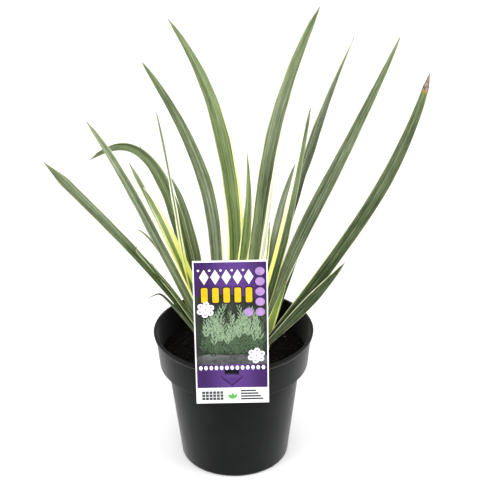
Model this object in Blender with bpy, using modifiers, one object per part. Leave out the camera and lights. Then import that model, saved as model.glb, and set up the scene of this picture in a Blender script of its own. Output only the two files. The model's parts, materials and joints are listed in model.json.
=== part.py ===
"""A potted African iris.

A black nursery pot filled with potting mix, six fans of sword leaves that grow
from it, and a plastic plant label that locks onto the pot's lip.

Metres, +Z up. The origin is the centre of the pot's base, and the label faces -Y.
"""

import math
from collections import namedtuple

import bmesh
import bpy
from mathutils import Vector

MM = 0.001
CLEARANCE = 0.3 * MM

# Pot: a low lip, a collar below it, and a body that narrows to the base
POT_HEIGHT = 125 * MM
LIP_RADIUS = 70.5 * MM
LIP_LOW_RADIUS = 69.9 * MM
LIP_HEIGHT = 3.2 * MM
LIP_UNDERCUT = 1.6 * MM
COLLAR_TOP_RADIUS = 68.9 * MM
COLLAR_LOW_RADIUS = 65.6 * MM
COLLAR_HEIGHT = 32.3 * MM
BODY_TOP_RADIUS = 58.8 * MM
BASE_RADIUS = 47.6 * MM
WALL = 1.2 * MM
LIP_ROUND = 0.5 * MM
BASE_ROUND = 3 * MM
INNER_BASE_ROUND = 2 * MM
POT_STEPS = 48
SHARP_ANGLE = math.radians(35)

# Pot base: a flat floor with a raised ring that drains through round holes
RAISED_RING_INNER = 20 * MM
RAISED_RING_OUTER = 38 * MM
RAISED_RING_HEIGHT = 2.5 * MM
DRAIN_HOLES = 8
DRAIN_HOLE_RADIUS = 4.5 * MM
DRAIN_HOLE_STEPS = 16
# How far a hole's cutter runs past the plastic that it goes through
CUTTER_OVERRUN = 4 * MM

# Potting mix
SOIL_TOP = 100 * MM
SOIL_STEPS = 40
SOIL_RINGS = 8
SOIL_LUMP = 0.9 * MM
SOIL_LOW_CORNER = 2 * MM
# Waves that add up to its lumps: radians per mm along X and Y, and a phase
SOIL_WAVES = [(0.31, 0.22, 0.4), (-0.17, 0.36, 2.1), (0.44, -0.29, 4.4), (0.09, -0.51, 1.3)]

# Label: a printed card with an arrow-headed tongue that goes down behind the lip
LABEL_WIDTH = 61.7 * MM
LABEL_HEIGHT = 137.5 * MM
LABEL_THICKNESS = 0.7 * MM
LABEL_CORNER = 0.5 * MM
LABEL_CORNER_POINTS = 4
LABEL_BOTTOM = 93.6 * MM
LABEL_X = -1.6 * MM
LABEL_TILT = math.radians(-0.4)
TONGUE_X = -1.9 * MM
TONGUE_THICKNESS = 0.5 * MM
TONGUE_ROOT_OVERLAP = 1.6 * MM
TONGUE_BEND_ABOVE_WINDOW = 0.6 * MM
TONGUE_OVER_LIP = 0.4 * MM
TONGUE_UNDER_LIP = 0.8 * MM
HEAD_SHOULDER = 0.4 * MM
NECK_HALF_WIDTH = 5.6 * MM
HEAD_HALF_WIDTH = 8.3 * MM
WINDOW_TOP = 127 * MM
HEAD_TOP = 120.6 * MM
HEAD_CORNER = 119 * MM
HEAD_POINT = 111.2 * MM
HEAD_POINT_HALF_WIDTH = 0.5 * MM
WINDOW_GAP = 0.45 * MM
LOCK_SLOT_HALF_WIDTH = 6.6 * MM
LOCK_SLOT_DEPTH = 1.2 * MM
LOCK_SLOT_BACK = 68.4 * MM

# Leaf fans: each has a flattened base of sheathed leaves that stands in the mix
SHEATH_BOTTOM = 74 * MM
SHEATH_TOP = 112 * MM
SHEATH_STEPS = 20
# The base's sides from the top down: share of its height, share of its half axes
SHEATH_SIDES = [(0, 0.55), (0.07, 0.86), (0.2, 1), (0.88, 1), (1, 0.8)]
LEAF_ROOT_HEIGHT = 102 * MM
LEAF_EDGE = 0.6 * MM
LEAF_RIB_PER_WIDTH = 0.08
LEAF_FOLD_PER_WIDTH = 0.05
LEAF_TIP_WIDTH = 0.8 * MM
LEAF_STEP = 15 * MM
LEAF_LEAST_STEPS = 8
# Over 1, the steps get shorter towards the tip
LEAF_STEP_POWER = 1.3

# A leaf rises from its root (x, y) and is pulled past the points in "via" to its
# tip. Its flat side is turned "face" degrees from the front. It is widest from
# "shoulder" of its length below the tip, and narrows above that by the power
# "taper". From the share "reach" of its length down, it narrows to the share "base"
# of its width at the root. Places and widths are in millimetres.
Leaf = namedtuple(
    "Leaf", "root via tip width face taper shoulder reach base", defaults=(0.4, 0.5, 0.15, 0.55)
)

# A fan's base is an ellipse round "centre" with the half axes "half"
Fan = namedtuple("Fan", "centre half leaves")

FANS = {
    "leaf_fan_left_front": Fan(
        centre=(-16, -11),
        half=(9.5, 7),
        leaves=[
            Leaf((-22, -11), [(-31, -20, 153), (-99, -46, 251)], (-149, -66, 319), 8, 16,
                 0.4, 0.1, 0.65, 0.35),
            Leaf((-12, -8), [(-56, -13, 167)], (-69, -22, 203), 5.5, 12, 0.6, 0.4),
            Leaf((-15, -15), [(-31, -22, 150), (-85, -32, 236), (-81, -42, 218)], (-79, -48, 234), 5, 50,
                 0.6, 0.9),
            Leaf((-19, -15), [(-21, -25, 131), (-73, -36, 190), (-53, -44, 189)], (-72, -52, 186), 3.2, 30,
                 0.7, 0.7),
            Leaf((-15, -8), [(-51, -9, 191), (-85, -3, 274)], (-120, 5, 323), 10.8, -10, 0.5, 0.5, 0.6, 0.78),
            Leaf((-12, -6), [(-64, 2, 218)], (-82, 14, 217), 2.8, 0, 0.5),
            Leaf((-11, -13), [(-9, -26, 140)], (-14, -47, 170), 8, 25, 0.4),
        ],
    ),
    "leaf_fan_left_back": Fan(
        centre=(-14, 9),
        half=(9, 6.5),
        leaves=[
            Leaf((-14, 9), [(-44, 24, 127), (-41, 60, 329)], (-126, 85, 251), 13.8, -25, 0.52, 0.45),
            Leaf((-10, 11), [(-33, 19, 154), (-29, 42, 201)], (-54, 60, 246), 9.5, -30, 0.3),
            Leaf((-18, 9), [(-49, 17, 197)], (-88, 38, 269), 9, -20),
            Leaf((-16, 6), [(-51, 10, 217)], (-77, 16, 259), 9.5, 8),
            Leaf((-11, 12), [(-27, 34, 164)], (-82, 98, 259), 7.4, -55, 0.2),
            Leaf((-13, 6), [(-47, 8, 158), (-41, 12, 209)], (-62, 15, 326), 6.6, 60, 0.4),
            Leaf((-10, 13), [(-15, 36, 130)], (-24, 68, 140), 8, -12),
        ],
    ),
    "leaf_fan_middle": Fan(
        centre=(3, -1),
        half=(10, 6),
        leaves=[
            Leaf((-5, -2), [(-24, -7, 187), (11, -30, 259)], (-69, -50, 397), 12.5, 18, 0.45, 0.4),
            Leaf((-2, 2), [(12, 15, 231), (-1, 60, 316)], (-53, 95, 379), 14.2, -12, 0.6, 0.42),
            Leaf((2, -4), [(-3, -8, 183), (19, -18, 207)], (13, -25, 307), 9.6, 25, 0.75, 0.34),
            Leaf((8, 0), [(24, 7, 226), (25, 35, 306)], (76, 58, 402), 13.6, 12, 0.45, 0.4),
            Leaf((9, 2), [(26, 15, 179)], (43, 60, 291), 8, 65),
            Leaf((8, -4), [(30, -16, 175)], (31, -30, 245), 6, 50, 0.3),
            Leaf((10, 0), [(36, -6, 161), (52, -22, 272)], (64, -38, 351), 9.8, -25, 0.58),
            Leaf((0, 3), [(-3, 24, 132)], (-4, 54, 150), 7.5, 0),
        ],
    ),
    "leaf_fan_right_back": Fan(
        centre=(12, 14),
        half=(8.5, 6),
        leaves=[
            Leaf((10, 14), [(39, 18, 163), (26, 30, 190)], (57, 40, 269), 10, 25),
            Leaf((13, 16), [(40, 30, 167), (61, 74, 262)], (109, 108, 355), 11, 30, 0.9, 0.3),
            Leaf((9, 17), [(16, 40, 133)], (26, 70, 146), 8, 15),
        ],
    ),
    "leaf_fan_right": Fan(
        centre=(24, 1),
        half=(6.5, 6.5),
        leaves=[
            Leaf((22, 4), [(46, 8, 202), (88, 5, 266)], (138, 0, 396), 12.4, -10, 0.56, 0.45, 0.45),
            Leaf((25, -3), [(26, -12, 118)], (46, -22, 185), 11.5, -25, 0.6, 0.8),
            Leaf((25, 5), [(56, 20, 190)], (63, 45, 181), 9.5, 20, 1, 0.9),
        ],
    ),
    "leaf_fan_right_front": Fan(
        centre=(15, -16),
        half=(8, 5),
        leaves=[
            Leaf((16, -15), [(93, -25, 211), (139, -54, 301)], (154, -75, 395), 11, -18,
                 0.4, 0.37, 0.3, 0.5),
            Leaf((14, -18), [(83, -40, 194)], (92, -72, 229), 9.3, -25, 0.95, 0.5, 0.4, 0.3),
        ],
    ),
}

# Finishes: colour, roughness
BLACK_PLASTIC = ((0.022, 0.023, 0.024), 0.42)
DARK_MIX = ((0.020, 0.015, 0.011), 0.95)
LEAF_GREEN = ((0.16, 0.24, 0.10), 0.5)
LABEL_PURPLE = ((0.10, 0.035, 0.22), 0.35)


def clear_scene():
    for obj in list(bpy.data.objects):
        bpy.data.objects.remove(obj)
    for mesh in list(bpy.data.meshes):
        bpy.data.meshes.remove(mesh)


def new_collection(name):
    collection = bpy.data.collections.new(name)
    bpy.context.scene.collection.children.link(collection)
    return collection


def new_object(name, data, collection):
    obj = bpy.data.objects.new(name, data)
    collection.objects.link(obj)
    return obj


def make_cutter(obj):
    obj.hide_render = True
    obj.display_type = "WIRE"
    return obj


def finish_with(obj, name, finish):
    """Give the object its own Principled material."""
    colour, roughness = finish
    material = bpy.data.materials.new(name)
    material.use_nodes = True
    shader = material.node_tree.nodes["Principled BSDF"]
    shader.inputs["Base Color"].default_value = (*colour, 1)
    shader.inputs["Roughness"].default_value = roughness
    shader.inputs["Metallic"].default_value = 0
    material.diffuse_color = (*colour, 1)
    obj.data.materials.clear()
    obj.data.materials.append(material)


def settle(obj):
    """Make the object's evaluated shape its own mesh, with no modifiers left."""
    graph = bpy.context.evaluated_depsgraph_get()
    mesh = bpy.data.meshes.new_from_object(obj.evaluated_get(graph))
    obj.modifiers.clear()
    obj.data = mesh


def round_corners(corners, arc_points=3):
    """An outline of (x, y, radius) corners as points, with an arc at each radius."""
    points = []
    for index, (x, y, radius) in enumerate(corners):
        if radius == 0:
            points.append((x, y))
            continue
        corner = Vector((x, y))
        before = (Vector(corners[index - 1][:2]) - corner).normalized()
        after = (Vector(corners[(index + 1) % len(corners)][:2]) - corner).normalized()
        half = before.angle(after) / 2
        centre = corner + (before + after).normalized() * (radius / math.sin(half))
        start = corner + before * (radius / math.tan(half)) - centre
        end = corner + after * (radius / math.tan(half)) - centre
        first = math.atan2(start.y, start.x)
        turn = (math.atan2(end.y, end.x) - first + math.pi) % math.tau - math.pi
        for step in range(arc_points):
            angle = first + turn * step / (arc_points - 1)
            points.append((centre.x + radius * math.cos(angle), centre.y + radius * math.sin(angle)))
    return points


def turned(name, profile, steps, collection):
    """A solid turned about Z from a profile of (radius, height)."""
    mesh = bpy.data.meshes.new(name)
    edges = [(i, i + 1) for i in range(len(profile) - 1)]
    mesh.from_pydata([(r, 0, z) for r, z in profile], edges, [])
    obj = new_object(name, mesh, collection)
    screw = obj.modifiers.new("turn", "SCREW")
    screw.steps = steps
    screw.render_steps = steps
    screw.use_merge_vertices = True
    screw.merge_threshold = 0.00001
    return obj


def cylinder(name, radius, bottom, top, collection):
    mesh = bpy.data.meshes.new(name)
    bm = bmesh.new()
    bmesh.ops.create_cone(
        bm, cap_ends=True, segments=DRAIN_HOLE_STEPS, radius1=radius, radius2=radius, depth=top - bottom
    )
    bmesh.ops.translate(bm, verts=bm.verts, vec=(0, 0, (top + bottom) / 2))
    bm.to_mesh(mesh)
    bm.free()
    return new_object(name, mesh, collection)


def box(name, low, high, collection):
    mesh = bpy.data.meshes.new(name)
    bm = bmesh.new()
    bmesh.ops.create_cube(bm, size=1)
    size = [b - a for a, b in zip(low, high)]
    middle = [(a + b) / 2 for a, b in zip(low, high)]
    bmesh.ops.scale(bm, verts=bm.verts, vec=size)
    bmesh.ops.translate(bm, verts=bm.verts, vec=middle)
    bm.to_mesh(mesh)
    bm.free()
    return new_object(name, mesh, collection)


def boolean(obj, name, operation, collection):
    modifier = obj.modifiers.new(name, "BOOLEAN")
    modifier.operation = operation
    modifier.operand_type = "COLLECTION"
    modifier.collection = collection
    modifier.solver = "EXACT"
    return modifier


def body_outer_radius(height):
    """Radius of the pot body's outside at a height."""
    step = POT_HEIGHT - COLLAR_HEIGHT
    return BASE_RADIUS + (BODY_TOP_RADIUS - BASE_RADIUS) * height / step


def collar_outer_radius(height):
    """Radius of the collar's outside at a height."""
    share = (POT_HEIGHT - height) / COLLAR_HEIGHT
    return COLLAR_TOP_RADIUS + (COLLAR_LOW_RADIUS - COLLAR_TOP_RADIUS) * share


def pot_profile():
    """From the middle of the floor, up the inside, over the lip and down the outside."""
    step = POT_HEIGHT - COLLAR_HEIGHT
    ring_top = RAISED_RING_HEIGHT + WALL
    slope = RAISED_RING_HEIGHT / 2
    # Moves the floor's upper corners so that it keeps its thickness on the ring's slopes
    cover = 0.7 * WALL
    lip_inner = COLLAR_TOP_RADIUS - WALL
    lip_low = POT_HEIGHT - LIP_HEIGHT
    corners = [
        (0, WALL, 0),
        (RAISED_RING_INNER - cover, WALL, 0),
        (RAISED_RING_INNER + slope - cover, ring_top, 0),
        (RAISED_RING_OUTER - slope + cover, ring_top, 0),
        (RAISED_RING_OUTER + cover, WALL, 0),
        (body_outer_radius(WALL) - WALL, WALL, INNER_BASE_ROUND),
        (body_outer_radius(step) - WALL, step + WALL, 0),
        (collar_outer_radius(step) - WALL, step + WALL, 0),
        (lip_inner, POT_HEIGHT, LIP_ROUND),
        (LIP_RADIUS, POT_HEIGHT, LIP_ROUND),
        (LIP_LOW_RADIUS, lip_low, LIP_ROUND),
        (collar_outer_radius(lip_low - LIP_UNDERCUT), lip_low - LIP_UNDERCUT, LIP_ROUND),
        (COLLAR_LOW_RADIUS, step, LIP_ROUND),
        (BODY_TOP_RADIUS, step, 0),
        (BASE_RADIUS, 0, BASE_ROUND),
        (RAISED_RING_OUTER, 0, 0),
        (RAISED_RING_OUTER - slope, RAISED_RING_HEIGHT, 0),
        (RAISED_RING_INNER + slope, RAISED_RING_HEIGHT, 0),
        (RAISED_RING_INNER, 0, 0),
        (0, 0, 0),
    ]
    return round_corners(corners)


def build_pot(parts, cutters):
    pot = turned("pot", pot_profile(), POT_STEPS, parts)
    ring_middle = (RAISED_RING_INNER + RAISED_RING_OUTER) / 2
    floor_top = RAISED_RING_HEIGHT + WALL
    holes = bpy.data.collections.new("pot_holes")
    cutters.children.link(holes)
    for index in range(DRAIN_HOLES):
        angle = math.tau * (index + 0.5) / DRAIN_HOLES
        name = f"drain_hole_{index + 1}"
        hole = cylinder(name, DRAIN_HOLE_RADIUS, -CUTTER_OVERRUN, floor_top + CUTTER_OVERRUN, holes)
        hole.location = (ring_middle * math.cos(angle), ring_middle * math.sin(angle), 0)
        make_cutter(hole)
    left = TONGUE_X - LOCK_SLOT_HALF_WIDTH
    right = TONGUE_X + LOCK_SLOT_HALF_WIDTH
    front = -LOCK_SLOT_BACK - LOCK_SLOT_DEPTH
    low = POT_HEIGHT - LIP_HEIGHT - LIP_UNDERCUT - CUTTER_OVERRUN
    high = POT_HEIGHT + CUTTER_OVERRUN
    make_cutter(box("lock_slot", (left, front, low), (right, -LOCK_SLOT_BACK, high), holes))
    boolean(pot, "holes", "DIFFERENCE", holes)
    settle(pot)
    pot.data.shade_smooth()
    pot.data.set_sharp_from_angle(angle=SHARP_ANGLE)
    finish_with(pot, "black_plastic", BLACK_PLASTIC)


def soil_profile():
    """From the top surface's middle outwards, then down the inside of the pot."""
    step = POT_HEIGHT - COLLAR_HEIGHT
    gap = WALL + CLEARANCE
    floor = RAISED_RING_HEIGHT + WALL + CLEARANCE
    edge = collar_outer_radius(SOIL_TOP) - gap
    top = [(edge * i / SOIL_RINGS, SOIL_TOP) for i in range(SOIL_RINGS + 1)]
    side = [
        (collar_outer_radius(step) - gap, step + gap),
        (body_outer_radius(step) - gap, step + gap),
        (body_outer_radius(floor + SOIL_LOW_CORNER) - gap, floor + SOIL_LOW_CORNER),
        (body_outer_radius(floor) - gap - SOIL_LOW_CORNER, floor),
        (0, floor),
    ]
    return top + side


def soil_relief(x, y):
    """Height of the mix's lumps above its mean surface."""
    total = sum(math.sin(a * x / MM + b * y / MM + c) for a, b, c in SOIL_WAVES)
    return SOIL_LUMP * total / len(SOIL_WAVES)


def build_soil(parts, cutters):
    soil = turned("potting_mix", soil_profile(), SOIL_STEPS, parts)
    settle(soil)
    for vertex in soil.data.vertices:
        if vertex.co.z > SOIL_TOP - CLEARANCE:
            vertex.co.z += soil_relief(vertex.co.x, vertex.co.y)
    sockets = bpy.data.collections.new("stem_holes")
    cutters.children.link(sockets)
    for name, fan in FANS.items():
        make_cutter(stem_hole(name + "_hole", fan, sockets))
    boolean(soil, "stem_holes", "DIFFERENCE", sockets)
    settle(soil)
    finish_with(soil, "dark_mix", DARK_MIX)


def oval(name, fan, grow, profile, collection):
    """A solid on a fan's oval: the profile holds shares of its half axes, and heights."""
    obj = turned(name, profile, SHEATH_STEPS, collection)
    settle(obj)
    half_x, half_y = (half * MM + grow for half in fan.half)
    for vertex in obj.data.vertices:
        vertex.co.x = vertex.co.x * half_x + fan.centre[0] * MM
        vertex.co.y = vertex.co.y * half_y + fan.centre[1] * MM
    return obj


def sheath(name, fan, collection):
    """The flattened base of a fan, where its leaves' sheaths overlap."""
    height = SHEATH_TOP - SHEATH_BOTTOM
    sides = [(share, SHEATH_TOP - fall * height) for fall, share in SHEATH_SIDES]
    return oval(name, fan, 0, [(0, SHEATH_TOP), *sides, (0, SHEATH_BOTTOM)], collection)


def stem_hole(name, fan, collection):
    """What is cut from the mix so that a fan's base stands in it with a clearance."""
    low = SHEATH_BOTTOM - CLEARANCE
    profile = [(0, SHEATH_TOP), (1, SHEATH_TOP), (1, low), (0, low)]
    return oval(name, fan, CLEARANCE, profile, collection)


def bezier(points, t):
    """A point on the curve that the control points pull, and its direction."""
    degree = len(points) - 1
    place = Vector((0, 0, 0))
    direction = Vector((0, 0, 0))
    for i, point in enumerate(points):
        place += point * (math.comb(degree, i) * t**i * (1 - t) ** (degree - i))
    for i in range(degree):
        weight = math.comb(degree - 1, i) * t**i * (1 - t) ** (degree - 1 - i)
        direction += (points[i + 1] - points[i]) * weight
    return place, direction.normalized()


def leaf_width(leaf, below_tip):
    """Width at a share of the leaf's length below its tip."""
    width = leaf.width * MM * min(1, below_tip / leaf.shoulder) ** leaf.taper
    above_root = min(1, (1 - below_tip) / leaf.reach)
    ease = above_root * above_root * (3 - 2 * above_root)
    return max(LEAF_TIP_WIDTH, width * (leaf.base + (1 - leaf.base) * ease))


def blade(name, leaf, collection):
    """One sword leaf: a six-point section with a mid rib, lofted along its curve."""
    root = Vector((*leaf.root, LEAF_ROOT_HEIGHT / MM))
    points = [Vector(p) * MM for p in [root, *leaf.via, leaf.tip]]
    length = sum((b - a).length for a, b in zip(points, points[1:]))
    rings = max(LEAF_LEAST_STEPS, round(length / LEAF_STEP))
    face = math.radians(leaf.face)
    flat = Vector((math.sin(face), -math.cos(face), 0))
    bm = bmesh.new()
    loops = []
    for ring in range(rings + 1):
        t = 1 - (1 - ring / rings) ** LEAF_STEP_POWER
        place, direction = bezier(points, t)
        across = direction.cross(flat).normalized()
        out = across.cross(direction).normalized()
        width = leaf_width(leaf, 1 - t)
        side = across * (width / 2)
        edge = out * (LEAF_EDGE / 2)
        rib = out * (LEAF_EDGE / 2 + width * LEAF_RIB_PER_WIDTH / 2)
        fold = out * (width * LEAF_FOLD_PER_WIDTH)
        section = [
            place - side - edge,
            place - side + edge,
            place - fold + rib,
            place + side + edge,
            place + side - edge,
            place - fold - rib,
        ]
        loops.append([bm.verts.new(co) for co in section])
    # Both faces of a half blade are split along the same diagonal
    rising = (True, True, False, True, False, False)
    for low, high in zip(loops, loops[1:]):
        for k, rises in enumerate(rising):
            after = (k + 1) % len(rising)
            a, b = low[k], low[after]
            c, d = high[after], high[k]
            if rises:
                bm.faces.new((a, b, c))
                bm.faces.new((a, c, d))
            else:
                bm.faces.new((a, b, d))
                bm.faces.new((b, c, d))
    bm.faces.new(list(reversed(loops[0])))
    bm.faces.new(loops[-1])
    bmesh.ops.recalc_face_normals(bm, faces=bm.faces)
    mesh = bpy.data.meshes.new(name)
    bm.to_mesh(mesh)
    bm.free()
    return new_object(name, mesh, collection)


def build_fan(name, fan, parts):
    """A fan's leaves joined to its sheathed base by one union."""
    base = sheath(name, fan, parts)
    blades = new_collection(name + "_blades")
    for index, leaf in enumerate(fan.leaves):
        blade(f"{name}_blade_{index + 1}", leaf, blades)
    boolean(base, "join_blades", "UNION", blades)
    settle(base)
    for obj in list(blades.objects):
        bpy.data.objects.remove(obj)
    bpy.data.collections.remove(blades)
    finish_with(base, name + "_green", LEAF_GREEN)


def label_outline():
    """The card's corners round its middle, in its own plane."""
    half_width = LABEL_WIDTH / 2
    low = LABEL_BOTTOM
    high = LABEL_BOTTOM + LABEL_HEIGHT
    corners = [(-half_width, low), (half_width, low), (half_width, high), (-half_width, high)]
    return round_corners([(x, z, LABEL_CORNER) for x, z in corners], LABEL_CORNER_POINTS)


def window_outline():
    """The opening that the tongue is cut from, a little wider than the tongue."""
    neck = NECK_HALF_WIDTH + WINDOW_GAP
    head = HEAD_HALF_WIDTH + WINDOW_GAP
    point = HEAD_POINT - 1.5 * WINDOW_GAP
    middle = TONGUE_X - LABEL_X
    shape = [
        (-neck, WINDOW_TOP),
        (-neck, HEAD_TOP + WINDOW_GAP),
        (-head, HEAD_TOP + WINDOW_GAP),
        (-head, HEAD_CORNER),
        (0, point),
        (head, HEAD_CORNER),
        (head, HEAD_TOP + WINDOW_GAP),
        (neck, HEAD_TOP + WINDOW_GAP),
        (neck, WINDOW_TOP),
    ]
    return [(middle + x, z) for x, z in shape]


def flat_card(name, outlines, thickness, collection):
    """A 2D curve of closed outlines, inner ones as holes, as a welded mesh in the XZ plane."""
    curve = bpy.data.curves.new(name, "CURVE")
    curve.dimensions = "2D"
    curve.fill_mode = "BOTH"
    curve.extrude = thickness / 2
    for outline in outlines:
        spline = curve.splines.new("POLY")
        spline.points.add(len(outline) - 1)
        for point, (x, z) in zip(spline.points, outline):
            point.co = (x, z, 0, 1)
        spline.use_cyclic_u = True
    guide = new_object(name + "_curve", curve, collection)
    graph = bpy.context.evaluated_depsgraph_get()
    mesh = bpy.data.meshes.new_from_object(guide.evaluated_get(graph))
    bpy.data.objects.remove(guide)
    bm = bmesh.new()
    bm.from_mesh(mesh)
    bmesh.ops.remove_doubles(bm, verts=bm.verts, dist=0.00001)
    for vertex in bm.verts:
        vertex.co = (vertex.co.x, -vertex.co.z, vertex.co.y)
    bmesh.ops.recalc_face_normals(bm, faces=bm.faces)
    bm.to_mesh(mesh)
    bm.free()
    return new_object(name, mesh, collection)


def tongue(name, card_plane, collection):
    """The arrow-headed strip: out of the card, down behind the lip, and its head below."""
    behind_lip = -LOCK_SLOT_BACK - LOCK_SLOT_DEPTH / 2
    head_plane = card_plane + LABEL_THICKNESS
    neck = NECK_HALF_WIDTH
    head = HEAD_HALF_WIDTH
    rows = [
        (card_plane, WINDOW_TOP + TONGUE_ROOT_OVERLAP, neck),
        (card_plane, WINDOW_TOP + TONGUE_BEND_ABOVE_WINDOW, neck),
        (behind_lip, POT_HEIGHT + TONGUE_OVER_LIP, neck),
        (behind_lip, POT_HEIGHT - LIP_HEIGHT - TONGUE_UNDER_LIP, neck),
        (behind_lip - HEAD_SHOULDER, HEAD_TOP, neck),
        (behind_lip - HEAD_SHOULDER, HEAD_TOP - HEAD_SHOULDER / 2, head),
        (head_plane, HEAD_CORNER - HEAD_SHOULDER, head),
        (head_plane, (HEAD_CORNER + HEAD_POINT) / 2, head / 2),
        (head_plane, HEAD_POINT, HEAD_POINT_HALF_WIDTH),
    ]
    middle = TONGUE_X - LABEL_X
    bm = bmesh.new()
    strips = []
    for y, z, half_width in rows:
        left = bm.verts.new((middle - half_width, y, z))
        right = bm.verts.new((middle + half_width, y, z))
        strips.append((left, right))
    for (a, b), (c, d) in zip(strips, strips[1:]):
        bm.faces.new((a, c, d, b))
    mesh = bpy.data.meshes.new(name)
    bm.to_mesh(mesh)
    bm.free()
    obj = new_object(name, mesh, collection)
    shell = obj.modifiers.new("thickness", "SOLIDIFY")
    shell.thickness = TONGUE_THICKNESS
    shell.offset = 0
    shell.use_even_offset = True
    settle(obj)
    return obj


def build_label(parts):
    card_plane = -LIP_RADIUS - CLEARANCE - LABEL_THICKNESS / 2
    label = flat_card("plant_label", [label_outline(), window_outline()], LABEL_THICKNESS, parts)
    for vertex in label.data.vertices:
        vertex.co.y += card_plane
    strips = new_collection("label_strips")
    tongue("tongue", card_plane, strips)
    boolean(label, "join_tongue", "UNION", strips)
    settle(label)
    for obj in list(strips.objects):
        bpy.data.objects.remove(obj)
    bpy.data.collections.remove(strips)
    # The card leans a little to the right about the point where the lip holds it
    for vertex in label.data.vertices:
        x = vertex.co.x
        z = vertex.co.z - POT_HEIGHT
        vertex.co.x = LABEL_X + x * math.cos(LABEL_TILT) + z * math.sin(LABEL_TILT)
        vertex.co.z = POT_HEIGHT + z * math.cos(LABEL_TILT) - x * math.sin(LABEL_TILT)
    finish_with(label, "printed_card", LABEL_PURPLE)


def main():
    clear_scene()
    parts = new_collection("african_iris")
    cutters = new_collection("cutters")
    build_pot(parts, cutters)
    build_soil(parts, cutters)
    for name, fan in FANS.items():
        build_fan(name, fan, parts)
    build_label(parts)


main()
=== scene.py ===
"""Looks of a potted African iris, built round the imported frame.

Metres, +Z up. The origin is the centre of the pot's base, and the label faces -Y.
"""

import json
import random
from collections import namedtuple
from math import atan2, comb, cos, degrees, pi, radians, sin, sqrt, tan, tau

import bmesh
import bpy
import numpy as np
from mathutils import Euler, Matrix, Vector, noise

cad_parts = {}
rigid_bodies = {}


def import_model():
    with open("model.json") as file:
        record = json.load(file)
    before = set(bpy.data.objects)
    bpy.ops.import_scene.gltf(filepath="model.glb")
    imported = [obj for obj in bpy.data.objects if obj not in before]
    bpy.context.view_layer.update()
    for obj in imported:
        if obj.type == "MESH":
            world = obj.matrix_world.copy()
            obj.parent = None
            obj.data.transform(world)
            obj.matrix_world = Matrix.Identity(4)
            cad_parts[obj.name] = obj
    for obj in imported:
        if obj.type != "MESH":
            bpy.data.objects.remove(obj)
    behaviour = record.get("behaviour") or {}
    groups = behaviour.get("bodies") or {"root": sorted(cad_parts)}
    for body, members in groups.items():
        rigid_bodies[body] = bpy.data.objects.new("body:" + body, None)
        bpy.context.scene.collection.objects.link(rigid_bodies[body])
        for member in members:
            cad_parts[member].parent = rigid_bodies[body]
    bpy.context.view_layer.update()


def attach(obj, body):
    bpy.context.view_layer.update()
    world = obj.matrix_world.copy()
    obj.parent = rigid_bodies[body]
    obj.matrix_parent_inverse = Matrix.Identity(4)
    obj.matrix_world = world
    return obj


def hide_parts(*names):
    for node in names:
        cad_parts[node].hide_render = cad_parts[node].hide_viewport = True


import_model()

MM = 0.001
BODY = "root"
CLEARANCE = 0.3 * MM

# Camera, fitted to the photograph
CAMERA_PLACE = Vector((0.17, -1303.2, 889.7)) * MM
CAMERA_DOWN = radians(27.446)
CAMERA_TURN = radians(0.280)
CAMERA_ROLL = radians(-0.635)
CAMERA_FOCAL_PIXELS = 1712
CAMERA_SENSOR_MM = 36
CAMERA_REACH = 30
IMAGE_PIXELS = 480

# Studio: white all round, with three soft lights as (name, place, width, power in W)
WORLD_STRENGTH = 1.0
FLOOR_HALF = 6
FLOOR_GRAIN = 12
LIGHT_AIM = Vector((0, 0, 0.15))
LIGHTS = [
    ("key", (-1.2, -1.1, 1.7), 1.4, 16),
    ("fill", (1.5, -0.6, 1.3), 1.4, 14),
    ("front", (0.1, -2.1, 1.2), 1.6, 16),
]

# Colours as display values of 0 to 255, alone or as a dark and a light one
FLOOR_WHITE = ((250, 250, 250), (253, 253, 253))
POT_BLACK = ((12, 13, 14), (19, 20, 21))
POT_DUST = (50, 50, 50)
# Painted shade: the colour the pot's inner wall is darkened to
POT_INNER_PAINTED_SHADE = (2, 2, 2)
SOIL_BROWN = ((5, 5, 4), (14, 12, 10))
SOIL_FLECK = (26, 22, 18)
BARK_BROWN = ((7, 6, 5), (25, 21, 16))
PERLITE_GREY = ((84, 82, 78), (132, 130, 124))
THREAD_BROWN = ((24, 19, 14), (58, 46, 33))
CARD_WHITE = ((236, 236, 238), (247, 247, 248))
# Purple print on the tongue, also put on the window's cut walls as painted shade
CARD_PURPLE_PRINT_AND_SHADE = ((66, 32, 102), (84, 48, 120))
GROUND_DEEP = ((38, 6, 66), (54, 16, 84))
GROUND_BRIGHT = ((74, 40, 112), (92, 58, 130))
MARGIN_CREAM = (247, 249, 226)
MARGIN_YELLOW = (242, 244, 108)
MARGIN_GREEN = (160, 168, 124)
DRY_YELLOW = (118, 124, 50)
DRY_TAN = (160, 116, 62)
DRY_STRAW = ((66, 55, 50), (160, 147, 131))

# A leaf's greens as (depth, grey-green, fresh green), from the deepest to the palest
GREENS = [
    (-0.5, (28, 34, 20), (28, 38, 12)),
    (0, (53, 62, 41), (50, 66, 26)),
    (0.5, (94, 103, 81), (91, 111, 55)),
    (1, (127, 137, 112), (122, 143, 70)),
    (1.6, (158, 168, 142), (156, 176, 84)),
]

# How often a leaf's grain repeats across and along it, per mm
VEINS = (2.1, 0.01, 1)
BANDS = (0.75, 0.005, 1)
BLOTCHES = (0.16, 0.03, 1)
FLECKS = (1.5, 0.09, 1)
DRY_SPECKLES = (1.2, 0.25, 1)

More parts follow.
